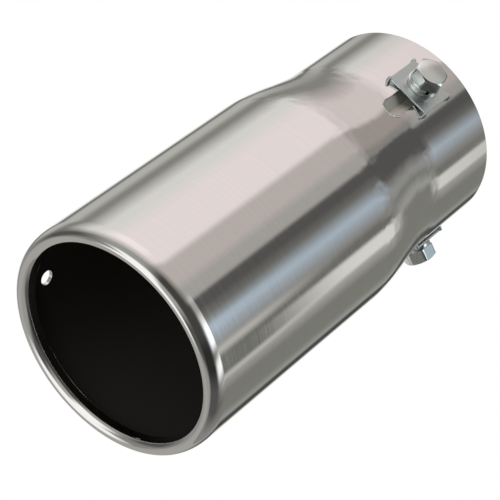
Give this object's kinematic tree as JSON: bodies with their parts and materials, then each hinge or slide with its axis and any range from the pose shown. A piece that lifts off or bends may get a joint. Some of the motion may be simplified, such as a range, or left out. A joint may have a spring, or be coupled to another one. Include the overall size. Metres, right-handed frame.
{
  "type": "exhaust tip",
  "caption": "Polished stainless slip-on exhaust tip: round body with a rolled outlet rim, flared down to a narrower slotted collar with bolted clamps and a small drain hole.",
  "frame": {"origin": "centre of the inlet end of the collar, on the tube's axis", "axes": "+Z along the tube's axis from the inlet to the outlet; -Y through the clamp and the drain hole that share one side; the part stands on its inlet end"},
  "size_m": [0.0778, 0.0801, 0.1486],
  "materials": {
    "polished_shell": "polished stainless steel with fine lines around the tube",
    "bolt_steel": "bright stainless, cold formed",
    "washer_steel": "bright stainless, pressed",
    "plate_steel": "satin stainless, pressed",
    "inner_steel": "dull mill-finish steel"
  },
  "bodies": {
    "root": {"tip_shell": "polished_shell", "hex_bolt_1": "bolt_steel", "spring_washer_1": "washer_steel", "flat_washer_1": "washer_steel", "saddle_plate_1": "plate_steel", "nut_plate_1": "inner_steel", "clamp_shoe_1": "inner_steel", "hex_bolt_2": "bolt_steel", "spring_washer_2": "washer_steel", "flat_washer_2": "washer_steel", "saddle_plate_2": "plate_steel", "nut_plate_2": "inner_steel", "clamp_shoe_2": "inner_steel", "hex_bolt_3": "bolt_steel", "spring_washer_3": "washer_steel", "flat_washer_3": "washer_steel", "saddle_plate_3": "plate_steel", "nut_plate_3": "inner_steel", "clamp_shoe_3": "inner_steel"}
  },
  "joints": []
}
